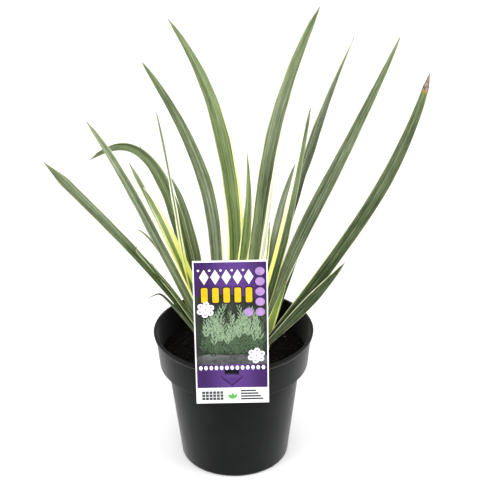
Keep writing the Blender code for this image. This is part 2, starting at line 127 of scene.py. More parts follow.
# Printed inks as (dark, light, how often they drift between the two per metre)
INKS = {
    "shade_ink": ((18, 22, 18), (42, 50, 40), 70),
    "bank_ink": ((14, 14, 16), (104, 106, 106), 60),
    "print_leaves_deep_ink": ((24, 38, 24), (44, 60, 42), 500),
    "print_leaves_mid_ink": ((46, 66, 44), (74, 94, 68), 500),
    "print_leaves_pale_ink": ((96, 118, 88), (146, 168, 138), 500),
    "white_ink": ((228, 228, 234), (250, 250, 250), 300),
    "yellow_ink": ((206, 166, 6), (218, 180, 12), 260),
    "lilac_ink": ((148, 116, 170), (172, 138, 190), 260),
    "grey_ink": ((40, 42, 42), (76, 78, 78), 260),
    "green_ink": ((66, 140, 60), (108, 176, 84), 260),
    "shadow_ink": ((18, 10, 22), (34, 20, 40), 200),
}

# A noise's range, and the range of the roughness that follows it
CARD_GLOSS = (0.3, 0.7, 0.24, 0.34)

# Pot: a low lip, a collar below it, and a body that narrows to the base
POT_HEIGHT = 125 * MM
LIP_RADIUS = 70.5 * MM
LIP_LOW_RADIUS = 69.9 * MM
LIP_HEIGHT = 3.2 * MM
LIP_UNDERCUT = 1.6 * MM
COLLAR_TOP_RADIUS = 68.9 * MM
COLLAR_LOW_RADIUS = 65.6 * MM
COLLAR_HEIGHT = 32.3 * MM
COLLAR_LOW_HEIGHT = POT_HEIGHT - COLLAR_HEIGHT
BODY_TOP_RADIUS = 58.8 * MM
BASE_RADIUS = 47.6 * MM
WALL = 1.2 * MM
LIP_ROUND = 0.5 * MM
STEP_ROUND = 0.8 * MM
BASE_ROUND = 3 * MM
INNER_BASE_ROUND = 2 * MM
POT_STEPS = 160
POT_MERGE = 0.01 * MM
POT_SHARP_ANGLE = radians(35)
RING_INNER = 20 * MM
RING_OUTER = 38 * MM
RING_HEIGHT = 2.5 * MM
RING_COVER = 0.7 * WALL
HOLES = 8
HOLE_RADIUS = 4.5 * MM
HOLE_STEPS = 32
CUTTER_OVERRUN = 4 * MM

# Potting mix: its surface is a fine relief with loose crumbs and threads on it
SOIL_TOP = 100 * MM
SOIL_STEPS = 200
SOIL_RINGS = 70
SOIL_LUMP = 0.9 * MM
SOIL_WAVES = [(0.31, 0.22, 0.4), (-0.17, 0.36, 2.1), (0.44, -0.29, 4.4), (0.09, -0.51, 1.3)]
SOIL_GRAIN = [(7 * MM, 0.9 * MM), (2.6 * MM, 0.5 * MM), (1.1 * MM, 0.25 * MM)]
SOIL_LOW_CORNER = 2 * MM
CRUMB_LEAN = 0.35
THREADS = 40
THREAD_SIDES = 6
THREAD_RINGS = 9
THREAD_LENGTHS = (7, 16)
THREAD_BEND = 1.6
THREAD_RADII = (0.12, 0.26)
THREAD_ARCH = 0.5 * MM

# Crumbs: the ranges of their three half axes are in mm
Crumbs = namedtuple("Crumbs", "name count sizes roughen seed material dark light")
CRUMBS = [
    Crumbs("bark_crumbs", 1100, [(0.7, 2.4), (0.5, 1.5), (0.3, 0.9)], 0.55, 7, "bark", *BARK_BROWN),
    Crumbs("perlite_specks", 16, [(0.6, 1.1), (0.5, 1), (0.4, 0.8)], 0.4, 8, "perlite", *PERLITE_GREY),
]

# Label: a printed card, whose arrow-headed tongue is locked in the lip's slot
LABEL_THICKNESS = 0.7 * MM
LABEL_BOTTOM = 93.6 * MM
LABEL_X = -1.6 * MM
LABEL_TILT = radians(-0.4)
LABEL_PLANE = -LIP_RADIUS - CLEARANCE - LABEL_THICKNESS / 2
TONGUE_X = -1.9 * MM
NECK_HALF_WIDTH = 5.6 * MM
HEAD_HALF_WIDTH = 8.3 * MM
WINDOW_TOP = 127 * MM
HEAD_TOP = 120.6 * MM
HEAD_CORNER = 119 * MM
HEAD_POINT = 111.2 * MM
WINDOW_GAP = 0.45 * MM
SLOT_HALF_WIDTH = 6.6 * MM
SLOT_DEPTH = 1.2 * MM
SLOT_BACK = 68.4 * MM
PRINT_LIFT = 0.04 * MM

# The label's print, in mm from the card's middle and low edge
INK_SIDE = 29.8
INK_TOP = 136.2
GROUND_LOW = 15.4
GROUND_GAP = 0.12
GROUND_GAP_ABOVE = 0.25
PANEL_LOW = 42
HILL = [(INK_SIDE, 99), (18, 102.5), (4, 105.5), (-12, 106.5), (-INK_SIDE, 104.5)]
BANK_LOW = 38.5
HUMP = [(INK_SIDE, 46.5), (14, 48.6), (-4, 47.4), (-18, 49), (-INK_SIDE, 46.8)]
SPRAY_TOP = 104
TILE_PITCH = 9.2
TILE_MIDDLES = [-21.6 + TILE_PITCH * k for k in range(5)]
DIAMOND_HEIGHT = 122.6
DIAMOND_DOT_HEIGHT = 128.8
DOT_ROW_HEIGHT = 35.4
DISC_RADIUS = 3.9
DISC_PITCH = 9.6
DISC_X = 24.4
BERRY_PLACES = [(-21, 92), (20.6, 47)]
BERRY_RADIUS = 2.6
BERRY_RING = 5
BERRY_RING_TURN = degrees(0.4)
HEART_RADIUS = 0.9
MARK_SIZE = 2.6
MARK_PITCH = 3.1
LINE_HEIGHT = 1.7
LINE_PITCH = 2.7
FOOT_LOW = 3.2

# Tiles and their shadows as (half width, low edge, high edge, corner radius)
TILE = (2.7, 98.6, 112.6, 1.4)
TILE_SHADOW = (3.6, 97.4, 113.4, 2)

# Sprays of small leaves as (piece, layer, how many, foot heights, lengths)
SPRAYS = [
    ("print_leaves_deep", 4, 28, (44, 50), (18, 34)),
    ("print_leaves_mid", 6, 26, (46, 58), (20, 38)),
    ("print_leaves_pale", 8, 20, (56, 68), (18, 32)),
]

# Leaf fans
SHEATH_TOP = 112 * MM
SHEATH_LOW = 94 * MM
SHEATH_STEPS = 72
LEAF_ROOT_HEIGHT = 102
LEAF_ROOT_SINK = 7 * MM
LEAF_EDGE = 0.3 * MM
LEAF_RIB_PER_WIDTH = 0.085
LEAF_FOLD_PER_WIDTH = 0.05
LEAF_WAVE_PER_WIDTH = 0.028
LEAF_SWAY_PER_WIDTH = 0.016
LEAF_TIP_WIDTH = 0.35 * MM
LEAF_POINT_SLOPE = 0.32
LEAF_POINT_TAPER = 0.06
LEAF_STEP = 3.5 * MM
LEAF_STEP_POWER = 1.3
LEAF_POINTS_ACROSS = 13

# Lengths of a leaf's waves per radian, in mm: its sway, two left waves and two right ones
LEAF_WAVES = (21, 8.5, 5.1, 9.3, 5.7)

# How a leaf is coloured. "left" and "right" are the widths in mm of its pale margins,
# "yellow" is 0 for cream and 1 for yellow margins, "fresh" is 0 for grey-green and 1
# for fresh green, and "light" is -2 for darkest and 2 for palest: it holds the leaf's own
# tone with painted shade where the leaf stands in shade, and painted light where a leaf
# in shade is lifted. Each is one number, or four that hold at LOOK_SHARES of its length.
# "pale" and "dark" are streaks: how far right of the middle, and half their width, in mm.
# "dry" is the length in mm of its brown tip.
LOOK_SHARES = (0.2, 0.45, 0.7, 0.95)
NO_STREAK = (99, 1)
Look = namedtuple(
    "Look", "left right yellow fresh light pale dark dry", defaults=(0.5, 0.2, 0, NO_STREAK, NO_STREAK, 3)
)

# A sheath's "left" and "right" are how far it is from pale, and "dry" its brownness
PALE_SHEATH = Look(-0.1, 0.4, fresh=0.8, light=0.3, dry=0)
PAPERY_SHEATH = Look(2, 2, fresh=0.3, dry=0.52)

# The skin's vectors: its grain, its distances to the pale margins and their yellow, its
# fresh, dry and light (own tone with painted light and shade), and its distances to the two streaks and how
# pale the margin is
SKIN = ("grain", "pale", "tone", "streak")

# A leaf rises from its root (x, y) and is pulled past the points in "via" to its
# tip. Its flat side is turned "face" degrees from the front. It is widest from
# "shoulder" of its length below the tip, and narrows above that by the power
# "taper". From the share "reach" of its length down, it narrows to the share "base"
# of its width at the root. Places and widths are in millimetres, and match the solids.
Leaf = namedtuple(
    "Leaf", "root via tip width face look taper shoulder reach base", defaults=(0.4, 0.5, 0.15, 0.55)
)

# A fan has its base's centre and half widths in mm, and its leaves
Fan = namedtuple("Fan", "centre half leaves")

FANS = {}
FANS["leaf_fan_left_front"] = Fan((-16, -11), (9.5, 7), [
    Leaf((-22, -11), [(-31, -20, 153), (-99, -46, 251)], (-149, -66, 319), 8, 16,
         Look(0.1, 0.2, fresh=(0.9, 0.7, 0.2, 0.2), light=(-2, -0.8, 0.3, 0.1)), 0.4, 0.1, 0.65, 0.35),
    Leaf((-12, -8), [(-56, -13, 167)], (-69, -22, 203), 5.5, 12,
         Look(-0.4, -0.4, fresh=(0.9, 0.9, 0.4, 0.2), light=(-2, -2, -1.5, -0.5)), 0.6, 0.4),
    Leaf((-15, -15), [(-31, -22, 150), (-85, -32, 236), (-81, -42, 218)], (-79, -48, 234), 5, 50,
         Look(0.4, 0.15, 0.3, (0.6, 0.6, 0.4, 0.2), (-0.5, -0.6, 0.1, 1.2), dry=6), 0.6, 0.9),
    Leaf((-19, -15), [(-21, -25, 131), (-73, -36, 190), (-53, -44, 189)], (-72, -52, 186), 3.2, 30,
         Look(-0.2, -0.5, 0.2, 0.2, (-0.3, -0.7, -0.9, -1.2), dry=2), 0.7, 0.7),
    Leaf((-15, -8), [(-51, -9, 191), (-85, -3, 274)], (-120, 5, 323), 10.8, -10,
         Look((0.4, 0.4, 0.3, 0.2), (1.4, 2, 0.8, 0.2), (0.8, 0.15, 0.1, 0.1), (0.4, 0.1, 0.1, 0.2),
              (0.6, 0.15, 0.5, 1.2), pale=(-1.6, 0.6), dark=(1.4, 1.5)), 0.5, 0.5, 0.6, 0.78),
    Leaf((-12, -6), [(-64, 2, 218)], (-82, 14, 217), 2.8, 0, Look(0.2, 0.2, light=(0.1, 0, 0.2, 0.1)), 0.5),
    Leaf((-11, -13), [(-9, -26, 140)], (-14, -47, 170), 8, 25,
         Look(1, 1, yellow=0.8, fresh=0.8, light=0.1)),
])
FANS["leaf_fan_left_back"] = Fan((-14, 9), (9, 6.5), [
    Leaf((-14, 9), [(-44, 24, 127), (-41, 60, 329)], (-126, 85, 251), 13.8, -25,
         Look(0.15, 0.3, fresh=(0.7, 0.5, 0.4, 0.35), light=(-0.4, -0.1, 0.2, -0.3), dark=(2.4, 1.2)),
         0.52, 0.45),
    Leaf((-10, 11), [(-33, 19, 154), (-29, 42, 201)], (-54, 60, 246), 9.5, -30,
         Look((1, 0.7, 0.3, 0.2), 0.3, 0.2, (0.6, 0.4, 0.2, 0.2), (0.3, 0.4, 1.3, 1.6), dark=(2.6, 0.8)),
         0.3),
    Leaf((-18, 9), [(-49, 17, 197)], (-88, 38, 269), 9, -20,
         Look((1.4, 2.9, 1.3, 0.3), (1.6, 3, 0.6, 0.2), (0.9, 0.5, 0.1, 0.1), (0.9, 0.7, 0.5, 0.3),
              (0.3, -0.2, -0.5, 1.4), dark=(0.2, 0.5))),
    Leaf((-16, 6), [(-51, 10, 217)], (-77, 16, 259), 9.5, 8,
         Look((0.8, 1.5, 0.9, 0.3), (2.2, 4.9, 3, 0.8), (0.95, 0.9, 0.35, 0.1), (1, 0.9, 0.6, 0.4),
              (0.4, 1.5, 1.9, 0.9), dark=(-1.2, 0.4))),
    Leaf((-11, 12), [(-27, 34, 164)], (-82, 98, 259), 7.4, -55,
         Look((4, 4, 2, 0.4), 0.3, (0.9, 0.6, 0.2, 0.2), 0.5, (0.3, 0.8, 2, 0.7), dry=9), 0.2),
    Leaf((-13, 6), [(-47, 8, 158), (-41, 12, 209)], (-62, 15, 326), 6.6, 60,
         Look((1.2, 2.9, 1.6, 0.2), (1.2, 2.9, 1.4, 0.2), (0.95, 0.85, 0.1, 0), (0.8, 0.6, 0.1, 0),
              (0.2, 1, 1, 0.7))),
    Leaf((-10, 13), [(-15, 36, 130)], (-24, 68, 140), 8, -12, Look(1, 1, fresh=0.6)),
])
FANS["leaf_fan_middle"] = Fan((3, -1), (10, 6), [
    Leaf((-5, -2), [(-24, -7, 187), (11, -30, 259)], (-69, -50, 397), 12.5, 18,
         Look((0.5, 0.3, 0.15, 0.15), (2.8, 1.8, 0.3, 0.15), (0.3, 0.1, 0.1, 0.2), (0.2, 0.1, 0.15, 0.3),
              (0.35, 0.3, -0.1, -0.45), pale=(0.8, 1.2), dark=(-3.6, 1)), 0.45, 0.4),
    Leaf((-2, 2), [(12, 15, 231), (-1, 60, 316)], (-53, 95, 379), 14.2, -12,
         Look((1.2, 0.5, 0.2, 0.15), (3.6, 1.3, 0.35, 0.15), (0.85, 0.6, 0.2, 0.2), (0.8, 0.65, 0.45, 0.35),
              (0.25, 0.3, 0.45, 0.25), pale=(3.8, 0.6), dark=(-2.6, 1.2)), 0.6, 0.42),
    Leaf((2, -4), [(-3, -8, 183), (19, -18, 207)], (13, -25, 307), 9.6, 25,
         Look((3.2, 1.9, 0.4, 0.2), (1.8, 1.1, 0.4, 0.2), (0.9, 0.7, 0.3, 0.2), (1, 0.95, 0.8, 0.5),
              (0.8, 0.9, 0.5, 0.3), dark=(1.4, 0.7)), 0.75, 0.34),
    Leaf((8, 0), [(24, 7, 226), (25, 35, 306)], (76, 58, 402), 13.6, 12,
         Look((2.2, 0.9, 0.4, 0.2), (2, 0.9, 0.5, 0.2), (0.2, 0.1, 0.05, 0.3), (0.5, 0.3, 0.15, 0.4),
              (0.7, -0.3, 0.75, 0.2), pale=(-2.8, 1.9), dark=(2.2, 1.9)), 0.45, 0.4),
    Leaf((9, 2), [(26, 15, 179)], (43, 60, 291), 8, 65,
         Look((3, 3.6, 3.2, 1.6), (3, 3.6, 3.2, 1.6), yellow=0, fresh=0.4, light=1.9, dry=0.5)),
    Leaf((8, -4), [(30, -16, 175)], (31, -30, 245), 6, 50,
         Look((1.5, 1.8, 1.6, 0.5), (1.5, 1.8, 1.6, 0.5), fresh=0.8, light=0.7), 0.3),
    Leaf((10, 0), [(36, -6, 161), (52, -22, 272)], (64, -38, 351), 9.8, -25,
         Look((3.3, 3.4, 2.5, 0.3), (0.5, 0.4, 0.3, 0.2), (0.95, 0.85, 0.15, 0.1), (0.5, 0.4, 0.3, 0.25),
              (-0.8, -0.5, 0.5, 0.1), dark=(0.2, 0.8)), 0.58),
    Leaf((0, 3), [(-3, 24, 132)], (-4, 54, 150), 7.5, 0, Look(1, 1, fresh=0.7, light=0.1)),
])
FANS["leaf_fan_right_back"] = Fan((12, 14), (8.5, 6), [
    Leaf((10, 14), [(39, 18, 163), (26, 30, 190)], (57, 40, 269), 10, 25,
         Look((2.6, 1.6, 0.7, 0.2), 0.3, 0, 0, (-0.5, -1.2, 1.1, 0.3), pale=(0.6, 1), dark=(3, 1))),
    Leaf((13, 16), [(40, 30, 167), (61, 74, 262)], (109, 108, 355), 11, 30,
         Look(0.5, 0.2, 0.3, (0.8, 0.2, 0, 0), (-0.4, -0.9, 0, 0.2), pale=(-1.6, 0.8), dark=(2.8, 1.6)),
         0.9, 0.3),
    Leaf((9, 17), [(16, 40, 133)], (26, 70, 146), 8, 15, Look(1, 1, fresh=0.5)),
])
FANS["leaf_fan_right"] = Fan((24, 1), (6.5, 6.5), [
    Leaf((22, 4), [(46, 8, 202), (88, 5, 266)], (138, 0, 396), 12.4, -10,
         Look((0.7, 0.4, 0.2, 0.15), (0.6, 0.6, 0.4, 0.15), 0, (0.3, 0.15, 0.15, 0.3),
              (0.5, -0.25, 0.25, 0.2), pale=(1.4, 0.7), dark=(-2.6, 1.2)), 0.56, 0.45, 0.45),
    Leaf((25, -3), [(26, -12, 118)], (46, -22, 185), 11.5, -25,
         Look((0.8, 0.9, 0.7, 0.1), (0.8, 1.2, 0.9, 0.2), yellow=0.7, fresh=1,
              light=(1.7, 1.7, 1.5, 0.4)), 0.6, 0.8),
    Leaf((25, 5), [(56, 20, 190)], (63, 45, 181), 9.5, 20,
         Look((0.3, 0, -0.2, -0.4), -0.2, 0.1, (0.9, 0.7, 0.2, 0.1), (-0.4, -1.3, -1.4, -2)), 1, 0.9),
])
FANS["leaf_fan_right_front"] = Fan((15, -16), (8, 5), [
    Leaf((16, -15), [(93, -25, 211), (139, -54, 301)], (154, -75, 395), 11, -18,
         Look((0.5, 0.35, 0.25, 0.2), (0.35, 0.25, 0.2, 0.2), 0.5, (0.4, 0.3, 0.25, 0.4),
              (-1.1, -0.7, -0.45, -0.25), pale=(-2.6, 0.35), dry=20), 0.4, 0.37, 0.3, 0.5),
    Leaf((14, -18), [(83, -40, 194)], (92, -72, 229), 9.3, -25,
         Look((0.5, 0.6, 0.5, 0.3), 0.15, 0.15, 0.25, (-0.2, -0.8, -0.9, -0.6), pale=(-1.4, 0.4)),
         0.95, 0.5, 0.4, 0.3),
])


def srgb(colour):
    """A linear colour from display values of 0 to 255."""
    shares = [value / 255 for value in colour]
    return (*(s / 12.92 if s < 0.04 else ((s + 0.055) / 1.055) ** 2.4 for s in shares), 1)


def set_up(thing, **settings):
    """The thing, once its settings are made."""
    for key, value in settings.items():
        setattr(thing, key, value)
    return thing


class Shade:
    """A Principled material, with short calls for the nodes that vary it."""

    def __init__(self, name, specular, **values):
        self.material = bpy.data.materials.new(name)
        self.material.use_nodes = True
        self.tree = self.material.node_tree
        self.shader = self.tree.nodes["Principled BSDF"]
        for socket, value in {"Specular_IOR_Level": specular, **values}.items():
            self.shader.inputs[socket.replace("_", " ")].default_value = value

    def connect(self, value, socket):
        """Link a node's output to a socket, or set a number, a vector or a display colour on it."""
        if isinstance(value, bpy.types.NodeSocket):
            self.tree.links.new(value, socket)
        else:
            socket.default_value = srgb(value) if socket.type == "RGBA" else value

    def node(self, kind, output, inputs=None, **settings):
        """One output of a new node."""
        node = set_up(self.tree.nodes.new("ShaderNode" + kind), **settings)
        for socket, value in (inputs or {}).items():
            self.connect(value, node.inputs[socket])
        return node.outputs[output]

    def place(self):
        """The object's own coordinates, which are the frame's."""
        return self.node("TexCoord", "Object")

    def attribute(self, name):
        return self.node("Attribute", "Vector", attribute_name=name)

    def part(self, vector, axis):
        """One number of a vector."""
        return self.node("SeparateXYZ", axis, {0: vector})

    def stretch(self, vector, scale):
        return self.node("Mapping", "Vector", {"Vector": vector, "Scale": scale})

    def noise(self, scale, detail=2, roughness=0.5, vector=None):
        """Noise of one scale, or of one for each axis, at the object's places or at others."""
        vector = vector or self.place()
        if isinstance(scale, tuple):
            vector, scale = self.stretch(vector, scale), 1
        inputs = {"Vector": vector, "Scale": scale, "Detail": detail, "Roughness": roughness}
        return self.node("TexNoise", 0, inputs)

    def fit(self, value, low, high, to_low=0, to_high=1, smooth=False):
        """The value with low to high remapped, and clamped."""
        inputs = dict(enumerate((value, low, high, to_low, to_high)))
        return self.node("MapRange", 0, inputs, interpolation_type="SMOOTHSTEP" if smooth else "LINEAR")

    def swing(self, value, reach, low=0.3, high=0.7):
        """A noise's low to high as -reach to reach."""
        return self.fit(value, low, high, -reach, reach)

    def calc(self, operation, a, b=0):
        return self.node("Math", 0, {0: a, 1: b}, operation=operation)

    def add(self, first, *others):
        for other in others:
            first = self.calc("ADD", first, other)
        return first

    def mix(self, share, a, b):
        """Colour a where the share is 0, and b where it is 1."""
        return self.node("Mix", 2, {0: share, 6: a, 7: b}, data_type="RGBA")

    def outward(self):
        """Over 0 where a surface faces away from the pot's axis, and under 0 inside the pot."""
        flat = self.stretch(self.node("NewGeometry", "Position"), (1, 1, 0))
        inputs = {0: self.node("NewGeometry", "Normal"), 1: flat}
        return self.node("VectorMath", "Value", inputs, operation="DOT_PRODUCT")

    def finish(self, colour, roughness=None, height=None, distance=0, strength=1):
        """The material with its colour, its roughness, and a bump of a height, if they vary."""
        self.connect(colour, self.shader.inputs["Base Color"])
        if roughness is not None:
            self.connect(roughness, self.shader.inputs["Roughness"])
        if height is not None:
            bump = self.node("Bump", 0, {"Strength": strength, "Distance": distance, "Height": height})
            self.connect(bump, self.shader.inputs["Normal"])
        return self.material


def leaf_material():
    """Parallel-veined skin. Its attributes are set by blade() and sheath()."""
    shade = Shade("leaf_skin", 0.12)
    grain, pale, tone, streak = (shade.attribute(name) for name in SKIN)
    veins = shade.noise(VEINS, 3, 0.6, grain)
    bands = shade.noise(BANDS, vector=grain)
    blotches = shade.noise(BLOTCHES, 3, vector=grain)
    flecks = shade.noise(FLECKS, 3, 0.6, grain)

    # The green's depth follows the leaf's light (its own tone with painted light and shade), its grain and
    # its pale and dark streaks
    depth = shade.add(
        shade.fit(shade.part(tone, 2), -2, 2, -0.5, 1.5),
        shade.swing(veins, 0.25, 0.28, 0.72),
        shade.swing(bands, 0.25, 0.32, 0.68),
        shade.swing(blotches, 0.14),
        shade.swing(flecks, 0.22),
    )
    for axis, change in ((0, 0.28), (1, -0.2)):
        away = shade.calc("ABSOLUTE", shade.part(streak, axis))
        depth = shade.add(depth, shade.fit(away, 0.4, 1.3, change, 0, smooth=True))
    greens = [(start, shade.mix(shade.part(tone, 0), grey, fresh)) for start, grey, fresh in GREENS]
    skin = greens[0][1]
    for (low, _), (high, green) in zip(greens, greens[1:]):
        skin = shade.mix(shade.fit(depth, low, high), skin, green)

    # Pale margins: a wide one is cream or yellow, a thin one only a lighter green
    inside = shade.calc("MINIMUM", shade.part(pale, 0), shade.part(pale, 1))
    inside = shade.add(inside, shade.swing(veins, 0.5, 0.2, 0.8))
    cream = shade.mix(shade.part(pale, 2), MARGIN_CREAM, MARGIN_YELLOW)
    cream = shade.mix(shade.fit(veins, 0.45, 0.8, 0, 0.25), cream, greens[3][1])
    cream = shade.mix(shade.part(streak, 2), MARGIN_GREEN, cream)
    skin = shade.mix(shade.fit(inside, -0.1, 0.35, 1, 0, smooth=True), skin, cream)

    # A dry tip turns yellow, then tan, then grey-brown
    dry = shade.add(shade.part(tone, 1), shade.swing(blotches, 0.08))
    speckles = shade.noise(DRY_SPECKLES, 3, vector=grain)
    straw = shade.mix(shade.fit(speckles, 0.35, 0.65), *DRY_STRAW)
    for low, high, colour in ((0.2, 0.4, DRY_YELLOW), (0.4, 0.55, DRY_TAN), (0.55, 0.75, straw)):
        skin = shade.mix(shade.fit(dry, low, high), skin, colour)
    return shade.finish(skin, shade.fit(bands, 0.3, 0.7, 0.42, 0.56), veins, 0.12 * MM, 0.6)


def pot_material():
    """Moulded black plastic: satin, with faint flow marks and dust, and painted shade on its inner wall."""
    shade = Shade("black_plastic", 0.05, Sheen_Weight=0.2, Sheen_Roughness=0.38)
    cloud = shade.noise(38, detail=4, roughness=0.6)
    flow = shade.noise((260, 260, 14))
    dust = shade.fit(shade.noise(900), 0.66, 0.78, 0, 0.35)
    skin = shade.mix(shade.fit(cloud, 0.35, 0.7), *POT_BLACK)
    skin = shade.mix(dust, skin, POT_DUST)
    # Painted shade: the inner wall, which faces the pot's axis, is darkened
    skin = shade.mix(shade.calc("LESS_THAN", shade.outward()), skin, POT_INNER_PAINTED_SHADE)
    gloss = shade.fit(shade.add(cloud, flow), 0.7, 1.3, 0.36, 0.5)
    return shade.finish(skin, gloss, shade.add(flow, shade.noise(1500, detail=1)), 0.05 * MM, 0.25)


def soil_material():
    """Dark, damp bark and peat."""
    shade = Shade("potting_mix_grain", 0.08)
    coarse = shade.noise(330, detail=5, roughness=0.65)
    fine = shade.noise(1600, detail=3, roughness=0.7)
    skin = shade.mix(shade.fit(coarse, 0.35, 0.7), *SOIL_BROWN)
    skin = shade.mix(shade.fit(fine, 0.6, 0.8, 0, 0.4), skin, SOIL_FLECK)
    return shade.finish(skin, shade.fit(coarse, 0.3, 0.7, 0.75, 0.95), shade.add(coarse, fine), 0.6 * MM, 0.8)


def crumb_material(name, dark, light, roughness):
    """Crumbs whose own tone attribute runs from dark to light."""
    shade = Shade(name, 0.12, Roughness=roughness)
    grain = shade.noise(1400, detail=3, roughness=0.7)
    share = shade.add(shade.part(shade.attribute("tone"), 0), shade.swing(grain, 0.25))
    skin = shade.mix(shade.fit(share, 0, 1), dark, light)
    return shade.finish(skin, height=grain, distance=0.3 * MM, strength=0.7)


def card_material():
    """White plastic card with a faint unevenness in its gloss: purple print on its tongue, and purple on its
    window's cut walls as painted shade in the gap.
    """
    shade = Shade("white_card", 0.2)
    place = shade.place()
    cloud = shade.noise(60, detail=3)
    height = shade.part(place, 2)
    aside = shade.calc("ABSOLUTE", shade.calc("SUBTRACT", shade.part(place, 0), TONGUE_X))
    # Purple: print on the tongue, and painted shade on the window's cut walls round it
    purple_print_and_shade = shade.calc("LESS_THAN", height, WINDOW_TOP + WINDOW_GAP)
    for operation, value, limit in (
        ("GREATER_THAN", height, HEAD_POINT - 2 * WINDOW_GAP),
        ("LESS_THAN", aside, HEAD_HALF_WIDTH + 2 * WINDOW_GAP),
    ):
        purple_print_and_shade = shade.calc("MULTIPLY", purple_print_and_shade, shade.calc(operation, value, limit))
    skin = shade.mix(purple_print_and_shade, shade.mix(cloud, *CARD_WHITE), shade.mix(cloud, *CARD_PURPLE_PRINT_AND_SHADE))
    return shade.finish(skin, shade.fit(cloud, *CARD_GLOSS), shade.noise(420), 0.02 * MM, 0.3)


def ink_material(name):
    """Printed ink that drifts between two colours, with a fine dot grain."""
    dark, light, scale = INKS[name]
    shade = Shade(name, 0.2)
    drift = shade.noise(scale, detail=3, roughness=0.6)
    dots = shade.swing(shade.noise(2600, detail=1), 0.08)
    share = shade.add(shade.fit(drift, 0.3, 0.7), dots)
    return shade.finish(shade.mix(share, dark, light), shade.fit(drift, *CARD_GLOSS))


def ground_ink():
    """Purple ink that is lighter along the middle of the card."""
    shade = Shade("purple_ink", 0.2)
    place = shade.place()
    drift = shade.noise(45, detail=3, roughness=0.6)
    aside = shade.calc("ABSOLUTE", shade.part(place, 0))
    share = shade.fit(aside, 4 * MM, 26 * MM, 0.9, 0.1, smooth=True)
    skin = shade.mix(share, shade.mix(drift, *GROUND_DEEP), shade.mix(drift, *GROUND_BRIGHT))
    return shade.finish(skin, shade.fit(drift, *CARD_GLOSS))


def add_object(name, data):
    """A new object in the scene."""
    new = bpy.data.objects.new(name, data)
    bpy.context.scene.collection.objects.link(new)
    return new


def settled_mesh(source, material):
    """The mesh that an object with modifiers or curves comes to, in one material."""
    graph = bpy.context.evaluated_depsgraph_get()
    mesh = bpy.data.meshes.new_from_object(source.evaluated_get(graph))
    mesh.materials.clear()
    mesh.materials.append(material)
    return mesh


def mesh_piece(name, points, faces, material, smooth=True, attributes=None):
    """A mesh object that rides on the pot, with vector attributes on its points."""
    mesh = bpy.data.meshes.new(name)
    mesh.from_pydata([tuple(p) for p in points], [], faces)
    for key, values in (attributes or {}).items():
        data = mesh.attributes.new(key, "FLOAT_VECTOR", "POINT").data
        data.foreach_set("vector", np.asarray(values, dtype=np.float32).ravel())
    mesh.polygons.foreach_set("use_smooth", [smooth] * len(mesh.polygons))
    mesh.materials.append(material)
    mesh.update()
    piece = add_object(name, mesh)
    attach(piece, BODY)
    return piece


def tube_faces(rings, around, first=0):
    """Faces of a closed tube of rings, with an end face at both ends as the last two."""
    faces = []
    for start in range(first, first + (rings - 1) * around, around):
        for k in range(around):
            a, b = start + k, start + (k + 1) % around
            faces.append((a, b, b + around, a + around))
    last = first + (rings - 1) * around
    return [*faces, tuple(first + k for k in reversed(range(around))), tuple(range(last, last + around))]


def curve(controls, t):
    """Points at the shares t of the curve that the control points pull."""
    degree = len(controls) - 1
    return sum(p * (comb(degree, i) * t**i * (1 - t) ** (degree - i)) for i, p in enumerate(controls))


def unit(vectors):
    return vectors / np.linalg.norm(vectors, axis=1)[:, None]


def polar(radius, angle):
    return radius * cos(angle), radius * sin(angle)


def smoothstep(low, high, value):
    share = np.clip((value - low) / (high - low), 0, 1)
    return share * share * (3 - 2 * share)


def leaf_width(leaf, t, to_tip):
    """Width at the shares t of the leaf's length, with a point at its tip."""
    width = leaf.width * MM * np.minimum(1, (1 - t) / leaf.shoulder) ** leaf.taper
    width *= leaf.base + (1 - leaf.base) * smoothstep(0, leaf.reach, t)
    # The widths of a wide leaf's last few millimetres fall in a straight line
    point = LEAF_TIP_WIDTH + to_tip * max(LEAF_POINT_SLOPE, LEAF_POINT_TAPER / leaf.taper)
    return np.maximum(LEAF_TIP_WIDTH, np.minimum(width, point))


def along_leaf(value, t):
    """A look's one number, or its four that hold at LOOK_SHARES, at the shares t."""
    return np.full_like(t, value) if np.isscalar(value) else np.interp(t, LOOK_SHARES, value)


def with_skin(points, *skin):
    """Lists of vectors for rings of points and the four rows of their skin, and the faces."""
    shape = points.shape[:2]
    vectors = [np.stack([np.broadcast_to(value, shape) for value in row], axis=-1) for row in skin]
    return [a.reshape(-1, 3) for a in (points, *vectors)], tube_faces(*shape)


